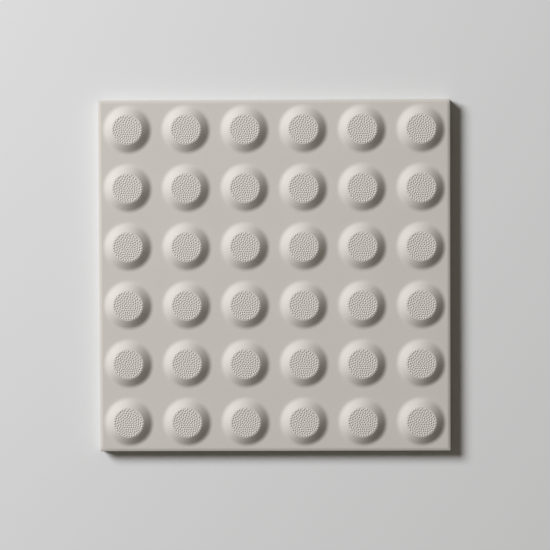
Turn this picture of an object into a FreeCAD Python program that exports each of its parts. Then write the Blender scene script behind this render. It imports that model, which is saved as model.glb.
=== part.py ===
"""Tactile paving slab: a square slab pressed in one piece, with a grid of truncated domes on its top face.

The slab lies flat with its domes up. The origin is at the centre of its underside, X and Y run along its
sides, and Z is up. Every length is in millimetres.
"""

import FreeCAD, Part
import os

import Sketcher

NODE = "tactile_slab"

# Driving dimensions: name, value, meaning
SIZES = [
    ("slab_side", 300.0, "side of the square slab"),
    ("slab_thickness", 12.0, "underside to the flat of the top face"),
    ("corner_radius", 0.8, "rounding of the four upright corners"),
    ("arris_width", 2.5, "bevel along the top edges, across the top face"),
    ("arris_drop", 0.8, "bevel along the top edges, down the side"),
    ("dome_pitch", 50.0, "centre to centre of two domes in a row"),
    ("dome_height", 5.0, "flat top above the top face"),
    ("dome_top_diameter", 25.4, "flat top"),
    ("dome_flank_diameter", 37.0, "foot of the steep flank, where the flare begins"),
    ("dome_flare_height", 1.0, "foot of the steep flank above the top face"),
    ("dome_base_diameter", 44.2, "foot of the flare, on the top face"),
    ("keys_in_row", 8, "keying recesses along one side of the underside"),
    ("key_margin", 12.0, "plain band round the keying recesses"),
    ("key_rib_width", 6.0, "rib between two keying recesses"),
    ("key_depth", 0.8, "depth of the keying recesses"),
]

# As many domes in a row as there is room for
DOMES_IN_ROW = "floor(Sizes.slab_side / Sizes.dome_pitch)"

# The keying recesses share what the margins and the ribs leave of the side
KEY_RIBS = "(Sizes.keys_in_row - 1) * Sizes.key_rib_width"
KEY_SIDE = f"(Sizes.slab_side - 2 * Sizes.key_margin - {KEY_RIBS}) / Sizes.keys_in_row"
KEY_PITCH = f"({KEY_SIDE} + Sizes.key_rib_width)"

# A sketch's origin, as Sketcher names it
ORIGIN = (-1, 1)


def start(line):
    """First end of a line, as Sketcher names it."""
    return line, 1


def end(line):
    """Second end of a line, as Sketcher names it."""
    return line, 2


def write_sheet(doc):
    """Puts the driving dimensions in a spreadsheet, each in a cell with its name as alias."""
    sheet = doc.addObject("Spreadsheet::Sheet", "Sizes")
    for row, (alias, value, meaning) in enumerate(SIZES, start=1):
        sheet.set(f"A{row}", alias)
        sheet.set(f"B{row}", f"{value:g}")
        sheet.set(f"C{row}", meaning)
        sheet.setAlias(f"B{row}", alias)
    doc.recompute()
    return sheet


def origin_feature(body, role):
    """The plane or axis of the body's own origin that has this role."""
    return next(feature for feature in body.Origin.OriginFeatures if feature.Role == role)


def new_sketch(body, name, plane):
    """An empty sketch on one of the body's origin planes."""
    sketch = body.newObject("Sketcher::SketchObject", name)
    sketch.AttachmentSupport = (origin_feature(body, plane), [""])
    sketch.MapMode = "FlatFace"
    return sketch


def constrain(sketch, kind, *where):
    """Adds a constraint with no size of its own."""
    sketch.addConstraint(Sketcher.Constraint(kind, *where))


def dimension(sketch, expression, kind, *where):
    """Adds a dimension and ties it to the sheet's cells."""
    size = float(sketch.evalExpression(expression))
    index = sketch.addConstraint(Sketcher.Constraint(kind, *where, size))
    sketch.setExpression(f"Constraints[{index}]", expression)


def add_loop(sketch, points):
    """A closed run of lines through the points. Returns the lines."""
    corners = [FreeCAD.Vector(x, y, 0) for x, y in points]
    lines = [
        sketch.addGeometry(Part.LineSegment(here, there))
        for here, there in zip(corners, corners[1:] + corners[:1])
    ]
    for line, following in zip(lines, lines[1:] + lines[:1]):
        constrain(sketch, "Coincident", *end(line), *start(following))
    return lines


def add_square(sketch, expression):
    """A square centred on the sketch's origin, with its side tied to the sheet."""
    half = float(sketch.evalExpression(expression)) / 2
    lines = add_loop(sketch, [(-half, -half), (half, -half), (half, half), (-half, half)])
    front, right, back, left = lines
    for level in (front, back):
        constrain(sketch, "Horizontal", level)
    for upright in (right, left):
        constrain(sketch, "Vertical", upright)
    constrain(sketch, "Equal", front, right)
    constrain(sketch, "Symmetric", *start(front), *start(back), *ORIGIN)
    dimension(sketch, expression, "DistanceX", *start(front), *end(front))


def first_place(pitch, count):
    """Where a centred row of copies begins, measured from the middle of the slab."""
    return f"-{pitch} * ({count} - 1) / 2"


def square_grid(body, name, feature, pitch, count):
    """Repeats a feature in a square grid along X and Y."""
    grid = body.newObject("PartDesign::LinearPattern", name)
    grid.Originals = [feature]
    grid.Direction = (origin_feature(body, "X_Axis"), [""])
    grid.Direction2 = (origin_feature(body, "Y_Axis"), [""])
    for suffix in ("", "2"):
        grid.setExpression(f"Length{suffix}", f"{pitch} * ({count} - 1)")
        grid.setExpression(f"Occurrences{suffix}", count)
    body.Tip = grid


def add_block(body):
    """Square block from the underside to the top face, with its upright corners rounded."""
    outline = new_sketch(body, "BlockOutline", "XY_Plane")
    add_square(outline, "Sizes.slab_side")
    block = body.newObject("PartDesign::Pad", "Block")
    block.Profile = outline
    block.setExpression("Length", "Sizes.slab_thickness")
    body.Document.recompute()

    upright = [
        f"Edge{number}"
        for number, edge in enumerate(block.Shape.Edges, start=1)
        if edge.BoundBox.ZLength > edge.BoundBox.XLength + edge.BoundBox.YLength
    ]
    corners = body.newObject("PartDesign::Fillet", "UprightCorners")
    corners.Base = (block, upright)
    corners.setExpression("Radius", "Sizes.corner_radius")


def add_domes(body, sheet):
    """Turns one dome, with flat top, steep flank and flared foot, and repeats it over the top face."""
    face = sheet.slab_thickness
    top = face + sheet.dome_height
    flare_top = face + sheet.dome_flare_height
    outline = [
        (0, face),
        (0, top),
        (sheet.dome_top_diameter / 2, top),
        (sheet.dome_flank_diameter / 2, flare_top),
        (sheet.dome_base_diameter / 2, face),
    ]
    profile = new_sketch(body, "DomeProfile", "XZ_Plane")
    axis, flat, flank, flare, base = add_loop(profile, outline)
    constrain(profile, "Vertical", *ORIGIN, *start(axis))
    constrain(profile, "Vertical", axis)
    for level in (flat, base):
        constrain(profile, "Horizontal", level)
    dimension(profile, "Sizes.slab_thickness", "DistanceY", *ORIGIN, *start(axis))
    dimension(profile, "Sizes.dome_height", "DistanceY", *start(axis), *end(axis))
    dimension(profile, "Sizes.dome_flare_height", "DistanceY", *start(axis), *end(flank))
    dimension(profile, "Sizes.dome_top_diameter / 2", "DistanceX", *ORIGIN, *end(flat))
    dimension(profile, "Sizes.dome_flank_diameter / 2", "DistanceX", *ORIGIN, *end(flank))
    dimension(profile, "Sizes.dome_base_diameter / 2", "DistanceX", *ORIGIN, *end(flare))

    # The profile's own Z points to -Y, so its sign there is the other way round
    first = first_place("Sizes.dome_pitch", DOMES_IN_ROW)
    profile.setExpression(".AttachmentOffset.Base.x", first)
    profile.setExpression(".AttachmentOffset.Base.z", f"-({first})")
    dome = body.newObject("PartDesign::Revolution", "Dome")
    dome.Profile = profile
    dome.ReferenceAxis = (profile, ["V_Axis"])
    dome.Angle = 360
    body.Document.recompute()
    square_grid(body, "Domes", dome, "Sizes.dome_pitch", DOMES_IN_ROW)


def add_arris(body, sheet):
    """Bevels the top edges, and keeps the feet of the outer domes off the bevel."""
    inner = sheet.slab_side / 2 - sheet.arris_width
    outer = sheet.slab_side / 2 + sheet.arris_width
    face = sheet.slab_thickness
    below = face - 2 * sheet.arris_drop
    above = face + sheet.dome_height
    section = new_sketch(body, "ArrisSection", "XZ_Plane")
    lines = add_loop(section, [(inner, face), (outer, below), (outer, above), (inner, above)])
    bevel, outside, lid, inside = lines
    for upright in (outside, inside):
        constrain(section, "Vertical", upright)
    constrain(section, "Horizontal", lid)
    dimension(section, "Sizes.slab_side / 2 - Sizes.arris_width", "DistanceX", *ORIGIN, *start(bevel))
    dimension(section, "Sizes.slab_thickness", "DistanceY", *ORIGIN, *start(bevel))
    dimension(section, "2 * Sizes.arris_width", "DistanceX", *start(bevel), *end(bevel))
    dimension(section, "2 * Sizes.arris_drop", "DistanceY", *end(bevel), *start(bevel))
    dimension(section, "Sizes.dome_height", "DistanceY", *start(bevel), *start(inside))

    side = body.newObject("PartDesign::Pocket", "ArrisSide")
    side.Profile = section
    side.Type = "ThroughAll"
    side.Midplane = True
    body.Document.recompute()
    sides = body.newObject("PartDesign::PolarPattern", "Arris")
    sides.Originals = [side]
    sides.Axis = (origin_feature(body, "Z_Axis"), [""])
    sides.Angle = 360
    sides.Occurrences = 4
    body.Tip = sides


def add_keying(body):
    """Shallow square recesses in the underside, with ribs between them, which key the slab to its bed."""
    outline = new_sketch(body, "KeyOutline", "XY_Plane")
    add_square(outline, KEY_SIDE)
    first = first_place(KEY_PITCH, "Sizes.keys_in_row")
    outline.setExpression(".AttachmentOffset.Base.x", first)
    outline.setExpression(".AttachmentOffset.Base.y", first)
    recess = body.newObject("PartDesign::Pocket", "Key")
    recess.Profile = outline
    recess.Reversed = True
    recess.setExpression("Length", "Sizes.key_depth")
    body.Document.recompute()
    square_grid(body, "Keying", recess, KEY_PITCH, "Sizes.keys_in_row")


def check(doc, body):
    """Stops before anything is written if a feature failed, a cut missed or the solid isn't sound."""
    failed = [thing.Name for thing in doc.Objects if {"Invalid", "Error"} & set(thing.State)]
    if failed:
        raise RuntimeError(f"these did not recompute: {failed}")
    for cut in doc.findObjects("PartDesign::Pocket"):
        if cut.Shape.Volume >= cut.BaseFeature.Shape.Volume:
            raise RuntimeError(f"{cut.Name} cuts nothing")
    shape = body.Shape
    if shape.isNull() or not shape.isValid() or len(shape.Solids) != 1:
        raise RuntimeError(f"{body.Label} is not one sound solid")


def main():
    doc = FreeCAD.newDocument("TactileSlab")
    sheet = write_sheet(doc)
    body = doc.addObject("PartDesign::Body", "Slab")
    body.Label = NODE
    body.Placement = FreeCAD.Placement()
    add_block(body)
    add_domes(body, sheet)
    add_arris(body, sheet)
    add_keying(body)
    doc.recompute()
    check(doc, body)
    os.makedirs("parts", exist_ok=True)
    body.Shape.exportStep(f"parts/{body.Label}.step")


main()
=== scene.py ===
"""Tactile paving slab: its looks, and the pimples on its domes, in metres, in the part's own frame."""

import bmesh
import bpy
import cmath
import math
import random
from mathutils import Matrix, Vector


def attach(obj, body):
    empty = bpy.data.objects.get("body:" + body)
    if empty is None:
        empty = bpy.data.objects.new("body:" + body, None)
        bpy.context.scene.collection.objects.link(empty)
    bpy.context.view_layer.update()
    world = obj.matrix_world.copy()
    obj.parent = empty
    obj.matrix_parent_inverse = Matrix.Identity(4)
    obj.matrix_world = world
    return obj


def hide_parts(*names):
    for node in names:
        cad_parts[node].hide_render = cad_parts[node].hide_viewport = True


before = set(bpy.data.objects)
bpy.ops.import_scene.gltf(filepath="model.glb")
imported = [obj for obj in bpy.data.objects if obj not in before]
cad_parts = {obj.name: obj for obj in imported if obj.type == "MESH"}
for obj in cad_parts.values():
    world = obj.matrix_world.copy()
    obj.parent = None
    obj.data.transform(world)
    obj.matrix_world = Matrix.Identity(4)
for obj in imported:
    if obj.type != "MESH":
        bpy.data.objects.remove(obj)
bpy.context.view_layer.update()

# Slab
# Porcelain dust pressed in one stroke of a steel die, which leaves the domes and the soft arris on the
# face, then fired dense and left unglazed. It lies loose on its keyed back.

slab_side = 0.300
half_side = slab_side / 2
face_level = 0.012

dome_pitch = 0.050
domes_in_row = 6
dome_height = 0.0049
dome_flat_radius = 0.01275
dome_rim_round = 0.0003
dome_rim_slope = math.radians(32.0)
dome_foot_round = 0.0063
dome_foot_slope = math.radians(37.0)
dome_sides = 64

# A narrow flat band beside each round keeps the round's shading off the wide flat next to it
band = 0.0004

# Points that are closer than this count as touching
touch = 1e-6


def bend(start, finish, radius, steps):
    """Slope and length of each short step of a round that turns from one slope to another."""
    turn = (finish - start) / steps
    return [(start + turn * (step + 0.5), radius * abs(turn)) for step in range(steps)]


def run_of(steps):
    """How far a walk of such steps goes outwards."""
    return sum(length * math.cos(slope) for slope, length in steps)


def rise_of(steps):
    """How far a walk of such steps goes up or down."""
    return sum(length * math.sin(slope) for slope, length in steps)


def dome_rings():
    """Radius and height of each ring of a dome, from its hollow foot up the flank to its flat top."""
    foot = bend(0, dome_foot_slope, dome_foot_round, steps=6)
    rim = bend(dome_rim_slope, 0, dome_rim_round, steps=3)
    unit_flank = bend(dome_foot_slope, dome_rim_slope, radius=1, steps=3)
    stretch = (dome_height - rise_of(foot + rim)) / rise_of(unit_flank)
    climb = foot + [(slope, length * stretch) for slope, length in unit_flank] + rim
    rings = [(dome_flat_radius + run_of(climb) + band, 0)]
    for slope, length in [(0, band)] + climb + [(0, band)]:
        radius, height = rings[-1]
        rings.append((radius - length * math.cos(slope), height + length * math.sin(slope)))
    return rings


def draw_ring(share, lift):
    """Extrudes the selected ring of edges, lifts it, and widens or narrows it about the middle."""
    bpy.ops.mesh.extrude_edges_move(TRANSFORM_OT_translate={"value": (0, 0, lift)})
    bpy.ops.transform.resize(value=(share, share, 1), center_override=(0, 0, 0))


def pick(part, kind, passes):
    """In edit mode, selects only the edges or faces that lie wholly where passes says."""
    bpy.ops.mesh.select_mode(type=kind)
    bpy.ops.mesh.select_all(action="DESELECT")
    shape = bmesh.from_edit_mesh(part.data)
    for item in {"EDGE": shape.edges, "FACE": shape.faces}[kind]:
        if all(passes(corner.co) for corner in item.verts):
            item.select_set(True)
    shape.select_flush_mode()
    bmesh.update_edit_mesh(part.data)


def repeat(part, count, pitch, welded):
    """Repeats a piece in a square field, along X and then along Y."""
    for step in ((pitch, 0, 0), (0, pitch, 0)):
        row = part.modifiers.new("row", "ARRAY")
        row.count = count
        row.use_relative_offset = False
        row.use_constant_offset = True
        row.constant_offset_displace = step
        row.use_merge_vertices = welded
        row.merge_threshold = touch
        bpy.ops.object.modifier_apply(modifier=row.name)


def from_edge(point):
    """How far a point lies in from the nearest side of the slab."""
    return half_side - max(abs(point.x), abs(point.y))


# One dome: its foot ring is drawn up ring by ring to the flat top, and a square of face joins its foot
bpy.ops.object.select_all(action="DESELECT")
rings = dome_rings()
foot_radius = rings[0][0]
bpy.ops.mesh.primitive_circle_add(vertices=dome_sides, radius=foot_radius)
slab = bpy.context.object
slab.name = slab.data.name = "slab"
bpy.ops.object.mode_set(mode="EDIT")
for (radius, height), (next_radius, next_height) in zip(rings, rings[1:]):
    draw_ring(next_radius / radius, next_height - height)
bpy.ops.mesh.edge_face_add()
bpy.ops.mesh.select_all(action="DESELECT")
square_reach = dome_pitch / math.sqrt(2)
bpy.ops.mesh.primitive_circle_add(vertices=4, radius=square_reach, rotation=(0, 0, math.pi / 4))
bpy.ops.mesh.subdivide(number_cuts=dome_sides // 4 - 1)
pick(slab, "EDGE", lambda point: point.xy.length > foot_radius - band / 2)
bpy.ops.mesh.bridge_edge_loops()
bpy.ops.mesh.select_all(action="SELECT")
first_dome = -dome_pitch * (domes_in_row - 1) / 2
bpy.ops.transform.translate(value=(first_dome, first_dome, face_level))
bpy.ops.object.mode_set(mode="OBJECT")
repeat(slab, domes_in_row, dome_pitch, welded=True)

# Arris and sides: the field is trimmed and levelled where the face bends, and its rim is drawn out ring by
# ring, down the bevel, round the edge, down the side and under
arris_width = 0.0034
arris_bend = 0.0012
arris_slope = math.atan(0.30)
edge_round = 0.0004
upright = math.pi / 2
arris = [(0, band)] + bend(0, arris_slope, arris_bend / math.sin(arris_slope), steps=3)
upper_edge = bend(arris_slope, upright, edge_round, steps=3) + [(upright, band)]
lower_edge = [(upright, band)] + bend(upright, math.pi, edge_round, steps=3)
bevel_run = arris_width - run_of(arris + upper_edge)
arris.append((arris_slope, bevel_run / math.cos(arris_slope)))
side = face_level - rise_of(arris + upper_edge + lower_edge)

bpy.ops.object.mode_set(mode="EDIT")
reach = half_side - arris_width
for out in (Vector((1, 0, 0)), Vector((0, 1, 0)), Vector((-1, 0, 0)), Vector((0, -1, 0))):
    bpy.ops.mesh.select_all(action="SELECT")
    bpy.ops.mesh.bisect(plane_co=out * reach, plane_no=out, clear_outer=True, threshold=touch)
pick(slab, "EDGE", lambda point: from_edge(point) < arris_width + touch)
bpy.ops.transform.resize(value=(1, 1, 0), center_override=(0, 0, face_level))
for slope, length in arris + upper_edge + [(upright, side)] + lower_edge + [(math.pi, band)]:
    next_reach = reach + length * math.cos(slope)
    draw_ring(next_reach / reach, -length * math.sin(slope))
    reach = next_reach

# Back: shallow square recesses with drafted walls, which key the slab to its bed
keys_in_row = 8
key_margin = 0.012
key_rib = 0.006
key_depth = 0.0008
key_draft = 0.0004
key_field = slab_side - 2 * key_margin + key_rib
bpy.ops.mesh.select_all(action="DESELECT")
bpy.ops.mesh.primitive_grid_add(
    x_subdivisions=keys_in_row, y_subdivisions=keys_in_row, size=key_field, rotation=(math.pi, 0, 0)
)
bpy.ops.mesh.inset(thickness=key_rib / 2, use_individual=True)
bpy.ops.mesh.inset(thickness=key_draft, depth=-key_depth, use_individual=True)
back_rims = (half_side - reach, half_side - key_field / 2)


def on_back_rim(point):
    """Whether a point lies on the inner edge of the rounded rim or on the outline of the keyed field."""
    return point.z < touch and min(abs(from_edge(point) - rim) for rim in back_rims) < touch


pick(slab, "EDGE", on_back_rim)
bpy.ops.mesh.bridge_edge_loops()

# The upright corners are rounded, and all faces are turned outwards
corner_radius = 0.0008
edge_inset = run_of(upper_edge) + touch


def on_corner(point):
    """Whether a point lies on one of the four upright corners."""
    return abs(abs(point.x) - abs(point.y)) < touch and from_edge(point) < edge_inset


pick(slab, "EDGE", on_corner)
bpy.ops.mesh.bevel(offset=corner_radius, segments=4)
bpy.ops.mesh.select_all(action="SELECT")
bpy.ops.mesh.normals_make_consistent(inside=False)
bpy.ops.object.mode_set(mode="OBJECT")
bpy.ops.object.shade_smooth_by_angle(angle=math.radians(30))

# Fired body, as each face of the slab shows it: clouds in the tone, specks of darker clay, a dry grain
clouds_to_metre = 22
specks_to_metre = 1500
grains_to_metre = 3800
cloud_dryness = 0.04
speck_gloss = 0.1
speck_pit = 0.6
body = bpy.data.node_groups.new("fired_body", "ShaderNodeTree")
for name, kind, value in (
    ("Clay", "NodeSocketColor", (0.5, 0.5, 0.5, 1)),
    ("Clouds", "NodeSocketFloat", 0.02),
    ("Specks", "NodeSocketFloat", 0.1),
    ("Dryness", "NodeSocketFloat", 0.6),
):
    body.interface.new_socket(name=name, in_out="INPUT", socket_type=kind).default_value = value
for name, kind in (("Colour", "Color"), ("Roughness", "Float"), ("Grain", "Float")):
    body.interface.new_socket(name=name, in_out="OUTPUT", socket_type="NodeSocket" + kind)
taken = body.nodes.new("NodeGroupInput")
given = body.nodes.new("NodeGroupOutput")


def add_place(tree, stretch=(1, 1, 1)):
    """Places in the piece's own frame, squeezed or drawn out along each axis."""
    frame_of_piece = tree.nodes.new("ShaderNodeTexCoord")
    mapping = tree.nodes.new("ShaderNodeMapping")
    mapping.inputs["Scale"].default_value = stretch
    tree.links.new(frame_of_piece.outputs["Object"], mapping.inputs["Vector"])
    return mapping.outputs["Vector"]


def add_noise(tree, place, scale, detail):
    """A noise texture of so many features to the metre."""
    node = tree.nodes.new("ShaderNodeTexNoise")
    node.inputs["Scale"].default_value = scale
    node.inputs["Detail"].default_value = detail
    tree.links.new(place, node.inputs["Vector"])
    return node.outputs["Fac"]


def add_math(tree, kind, first, second):
    """A math node; each input is a number or another node's output."""
    node = tree.nodes.new("ShaderNodeMath")
    node.operation = kind
    for socket, value in zip(node.inputs, (first, second)):
        if isinstance(value, (int, float)):
            socket.default_value = value
        else:
            tree.links.new(value, socket)
    return node.outputs["Value"]


def add_range(tree, value, low, high, to_low, to_high):
    """A value's range spread or squeezed into another, and kept inside it."""
    node = tree.nodes.new("ShaderNodeMapRange")
    tree.links.new(value, node.inputs["Value"])
    node.inputs["From Min"].default_value = low
    node.inputs["From Max"].default_value = high
    node.inputs["To Min"].default_value = to_low
    node.inputs["To Max"].default_value = to_high
    return node.outputs["Result"]


place = add_place(body)
cloud = add_noise(body, place, clouds_to_metre, detail=3)
cloud = add_range(body, cloud, low=0.3, high=0.7, to_low=-1, to_high=1)
speck = add_noise(body, place, specks_to_metre, detail=2)
speck = add_range(body, speck, low=0.64, high=0.74, to_low=0, to_high=1)
grain = add_noise(body, place, grains_to_metre, detail=2)
tone = add_math(body, "MULTIPLY", cloud, taken.outputs["Clouds"])
tone = add_math(body, "SUBTRACT", tone, add_math(body, "MULTIPLY", speck, taken.outputs["Specks"]))
toned = body.nodes.new("ShaderNodeVectorMath")
toned.operation = "SCALE"
body.links.new(taken.outputs["Clay"], toned.inputs["Vector"])
body.links.new(add_math(body, "ADD", tone, 1.0), toned.inputs["Scale"])
body.links.new(toned.outputs["Vector"], given.inputs["Colour"])
dry = add_math(body, "ADD", taken.outputs["Dryness"], add_math(body, "MULTIPLY", cloud, cloud_dryness))
dry = add_math(body, "SUBTRACT", dry, add_math(body, "MULTIPLY", speck, speck_gloss))
body.links.new(dry, given.inputs["Roughness"])
pitted = add_math(body, "SUBTRACT", grain, add_math(body, "MULTIPLY", speck, speck_pit))
body.links.new(pitted, given.inputs["Grain"])


def fired_porcelain(name, clay, clouds, specks, dryness, grain_depth, shine=0.25):
    """A material of the fired body, with the body's values as this face shows them."""
    material = bpy.data.materials.new(name)
    material.use_nodes = True
    tree = material.node_tree
    shader = tree.nodes["Principled BSDF"]
    shader.inputs["Specular IOR Level"].default_value = shine
    fired = tree.nodes.new("ShaderNodeGroup")
    fired.name = "fired_body"
    fired.node_tree = body
    fired.inputs["Clay"].default_value = clay
    fired.inputs["Clouds"].default_value = clouds
    fired.inputs["Specks"].default_value = specks
    fired.inputs["Dryness"].default_value = dryness
    tree.links.new(fired.outputs["Colour"], shader.inputs["Base Color"])
    tree.links.new(fired.outputs["Roughness"], shader.inputs["Roughness"])
    relief = tree.nodes.new("ShaderNodeBump")
    relief.name = "grain_relief"
    relief.inputs["Distance"].default_value = grain_depth
    tree.links.new(fired.outputs["Grain"], relief.inputs["Height"])
    tree.links.new(relief.outputs["Normal"], shader.inputs["Normal"])
    return material


face_clay = fired_porcelain(
    "porcelain_face",
    clay=(0.509, 0.481, 0.441, 1),
    clouds=0.012,
    specks=0.07,
    dryness=0.84,
    grain_depth=0.00001,
)

# The sides have faint upright scores from the wall of the die
scores_to_metre = 1100
score_stretch = (1, 1, 0.04)
score_depth = 1.5
side_clay = fired_porcelain(
    "porcelain_side",
    clay=(0.498, 0.470, 0.431, 1),
    clouds=0.02,
    specks=0.10,
    dryness=0.88,
    grain_depth=0.00003,
)
tree = side_clay.node_tree
score = add_noise(tree, add_place(tree, score_stretch), scores_to_metre, detail=2)
score = add_math(tree, "MULTIPLY", score, score_depth)
scored = add_math(tree, "ADD", tree.nodes["fired_body"].outputs["Grain"], score)
tree.links.new(scored, tree.nodes["grain_relief"].inputs["Height"])

# The back has chalky kiln wash on its ribs, which the kiln's rollers wore through in places
wash_colour = (0.66, 0.645, 0.62, 1)
wash_cover = 0.8
wash_patches_to_metre = 160
wash_stretch = (1, 0.35, 1)
back_clay = fired_porcelain(
    "porcelain_back",
    clay=(0.474, 0.447, 0.409, 1),
    clouds=0.05,
    specks=0.12,
    dryness=0.90,
    grain_depth=0.00004,
)
tree = back_clay.node_tree
height = tree.nodes.new("ShaderNodeSeparateXYZ")
tree.links.new(add_place(tree), height.inputs["Vector"])
on_rib = add_range(tree, height.outputs["Z"], low=key_depth / 2, high=0, to_low=0, to_high=1)
worn = add_noise(tree, add_place(tree, wash_stretch), wash_patches_to_metre, detail=4)
worn = add_range(tree, worn, low=0.42, high=0.58, to_low=0, to_high=wash_cover)
washed = tree.nodes.new("ShaderNodeMix")
washed.data_type = "RGBA"
washed.inputs["B"].default_value = wash_colour
tree.links.new(add_math(tree, "MULTIPLY", on_rib, worn), washed.inputs["Factor"])
tree.links.new(tree.nodes["fired_body"].outputs["Colour"], washed.inputs["A"])
tree.links.new(washed.outputs["Result"], tree.nodes["Principled BSDF"].inputs["Base Color"])

side_top = face_level - rise_of(arris) + touch


def on_back(point):
    """Whether a point lies on the back or in one of its recesses."""
    return point.z < edge_round + touch or point.z < face_level / 2 and from_edge(point) > key_margin


def clad(part, clay, passes):
    """Gives a new material to the faces that lie wholly where passes says."""
    part.data.materials.append(clay)
    part.active_material_index = len(part.data.materials) - 1
    bpy.ops.object.mode_set(mode="EDIT")
    pick(part, "FACE", passes)
    bpy.ops.object.material_slot_assign()
    bpy.ops.object.mode_set(mode="OBJECT")


slab.data.materials.append(face_clay)
clad(slab, side_clay, lambda point: point.z < side_top)
clad(slab, back_clay, on_back)

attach(slab, "root")
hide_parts("tactile_slab")

# Pimples
# Low round studs on the flat tops of the domes, of the same pressing, which give the sole a grip. The
# die has the same close scatter of them on every dome, right out to the rim.

pimples_on_dome = 118
pimple_field = 0.0119
pimple_room = 0.00245
pimple_sides = 12
pimple_foot_radius = 0.00109
pimple_foot_sunk = 0.00012
pimple_shoulder_radius = 0.00030
pimple_shoulder_height = 0.00047
pimple_height = 0.00060


def even_scatter(count, reach, room, ragged, push, rounds, seed):
    """Places on a disc with a ragged edge, dropped at random and then pushed off their neighbours."""
    draw = random.Random(seed)
    places = []
    for _ in range(count):
        distance = reach * math.sqrt(draw.random())
        places.append(cmath.rect(distance, math.tau * draw.random()))
    limits = [reach * draw.uniform(1 - ragged, 1) for _ in places]
    for _ in range(rounds):
        pushed = []
        for place, limit in zip(places, limits):
            others = [place - other for other in places if 0 < abs(place - other) < room]
            place += push * sum(away / abs(away) * (room - abs(away)) for away in others)
            pushed.append(place * min(1, limit / abs(place)))
        places = pushed
    return places


# One pimple: its foot is sunk in the dome top, drawn up and in to the shoulder, and then up to a point
bpy.ops.object.select_all(action="DESELECT")
bpy.ops.mesh.primitive_circle_add(vertices=pimple_sides, radius=pimple_foot_radius, fill_type="NGON")
pimple = bpy.context.object
bpy.ops.object.mode_set(mode="EDIT")
bpy.ops.mesh.select_all(action="SELECT")
bpy.ops.transform.translate(value=(0, 0, -pimple_foot_sunk))
share = pimple_shoulder_radius / pimple_foot_radius
climb = pimple_shoulder_height + pimple_foot_sunk
bpy.ops.mesh.extrude_region_move(TRANSFORM_OT_translate={"value": (0, 0, climb)})
bpy.ops.transform.resize(value=(share, share, 1), center_override=(0, 0, 0))
climb = pimple_height - pimple_shoulder_height
bpy.ops.mesh.extrude_region_move(TRANSFORM_OT_translate={"value": (0, 0, climb)})
bpy.ops.mesh.merge(type="CENTER")
bpy.ops.mesh.select_all(action="SELECT")
bpy.ops.mesh.normals_make_consistent(inside=False)
bpy.ops.object.mode_set(mode="OBJECT")

# The pimples of one dome are copies of it, joined, and the field of domes repeats them
places = even_scatter(
    pimples_on_dome, pimple_field, pimple_room, ragged=0.06, push=0.25, rounds=25, seed=11
)
studs = []
for place in places:
    stud = pimple.copy()
    stud.data = pimple.data.copy()
    bpy.context.collection.objects.link(stud)
    stud.location = (first_dome + place.real, first_dome + place.imag, face_level + dome_height)
    studs.append(stud)
bpy.data.objects.remove(pimple)
bpy.ops.object.select_all(action="DESELECT")
for stud in studs:
    stud.select_set(True)
bpy.context.view_layer.objects.active = studs[0]
bpy.ops.object.join()
pimples = bpy.context.object
pimples.name = pimples.data.name = "pimples"
bpy.ops.object.transform_apply(location=True, rotation=True, scale=True)
repeat(pimples, domes_in_row, dome_pitch, welded=False)
bpy.ops.object.shade_smooth_by_angle(angle=math.radians(60))

# The pimples and the flat between them are clay painted paler than the face, a painted lift that cancels
# the shade the pimples cast on each other, with a faint sheen that catches the light
top_clay_painted_paler = fired_porcelain(
    "porcelain_tops",
    clay=(0.523, 0.496, 0.458, 1),
    clouds=0.012,
    specks=0.05,
    dryness=0.62,
    grain_depth=0.00001,
    shine=0.4,
)
pimples.data.materials.append(top_clay_painted_paler)
bpy.ops.object.select_all(action="DESELECT")
slab.select_set(True)
bpy.context.view_layer.objects.active = slab
# The flat tops of the domes take the same clay, painted paler against the pimples' shade
clad(slab, top_clay_painted_paler, lambda point: point.z > face_level + dome_height - touch)

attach(pimples, "root")

# Floor, lights and camera
# A plain pale floor, one large soft light from the upper left and a little warm light from all round.
# The camera looks down from almost straight above.

floor_size = 8
floor_gap = 0.0002
floor_grey = 0.61
bpy.ops.object.select_all(action="DESELECT")
bpy.ops.mesh.primitive_plane_add(size=floor_size, location=(0, 0, -floor_gap))
floor = bpy.context.object
floor.name = "floor"
pale = bpy.data.materials.new("pale_floor")
pale.use_nodes = True
shader = pale.node_tree.nodes["Principled BSDF"]
shader.inputs["Base Color"].default_value = (floor_grey, floor_grey, floor_grey, 1)
shader.inputs["Roughness"].default_value = 0.9
floor.data.materials.append(pale)

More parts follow.
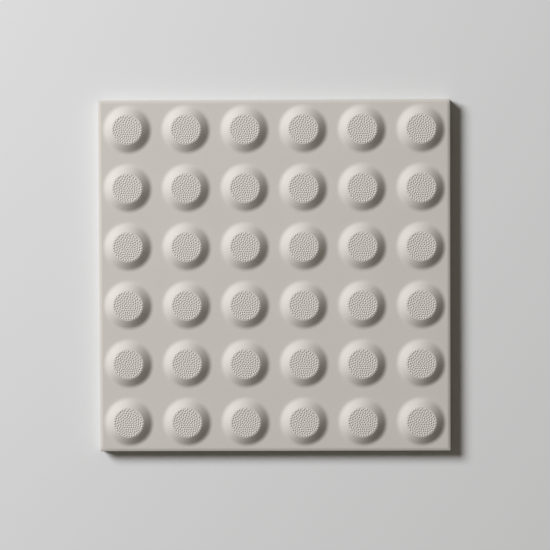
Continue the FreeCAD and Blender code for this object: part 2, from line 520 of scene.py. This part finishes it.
# The lamp by itself shows a level white face at light_level
light_height = math.radians(37.5)
light_bearing = Vector((-0.834, 0.551, 0))
to_light = light_bearing * math.cos(light_height) + Vector((0, 0, math.sin(light_height)))
light_distance = 4.0
light_width, light_depth = 2.00, 1.60
light_level = 0.858
bpy.ops.object.light_add(type="AREA", location=to_light * light_distance)
key = bpy.context.object
key.name = "key_light"
key.rotation_euler = to_light.to_track_quat("Z", "Y").to_euler()
key.data.shape = "ELLIPSE"
key.data.size = light_width
key.data.size_y = light_depth
key.data.color = (0.987, 1.0, 1.025)
spread = light_distance**2 + light_width * light_depth / 4
key.data.energy = light_level * math.pi**2 * spread / to_light.z

# The world gives the warm light, and the camera sees a plain grey in its place
sky_colour = (1.11, 1.0, 0.82, 1)
sky_level = 0.12
backdrop_grey = 0.64
world = bpy.context.scene.world or bpy.data.worlds.new("studio")
bpy.context.scene.world = world
world.use_nodes = True
tree = world.node_tree
sky = tree.nodes["Background"]
sky.inputs["Color"].default_value = sky_colour
sky.inputs["Strength"].default_value = sky_level
backdrop = tree.nodes.new("ShaderNodeBackground")
backdrop.inputs["Color"].default_value = (backdrop_grey, backdrop_grey, backdrop_grey, 1)
seen = tree.nodes.new("ShaderNodeLightPath")
either = tree.nodes.new("ShaderNodeMixShader")
tree.links.new(seen.outputs["Is Camera Ray"], either.inputs["Fac"])
tree.links.new(sky.outputs["Background"], either.inputs[1])
tree.links.new(backdrop.outputs["Background"], either.inputs[2])
tree.links.new(either.outputs["Shader"], tree.nodes["World Output"].inputs["Surface"])

camera_distance = 2.1
lean_right, lean_up, roll = math.radians(1.0), math.radians(2.2), math.radians(-0.23)
frame_width = 0.4692
sensor_width = 36
aim = Vector((0.00073, 0.00059, face_level))
stand = aim + camera_distance * Vector((math.sin(lean_right), math.sin(lean_up), math.cos(lean_up)))
bpy.ops.object.camera_add(location=stand, rotation=(-lean_up, lean_right, roll))
camera = bpy.context.object
camera.data.sensor_width = sensor_width
camera.data.lens = sensor_width * camera_distance / frame_width
bpy.context.scene.camera = camera
bpy.context.scene.view_settings.view_transform = "Standard"
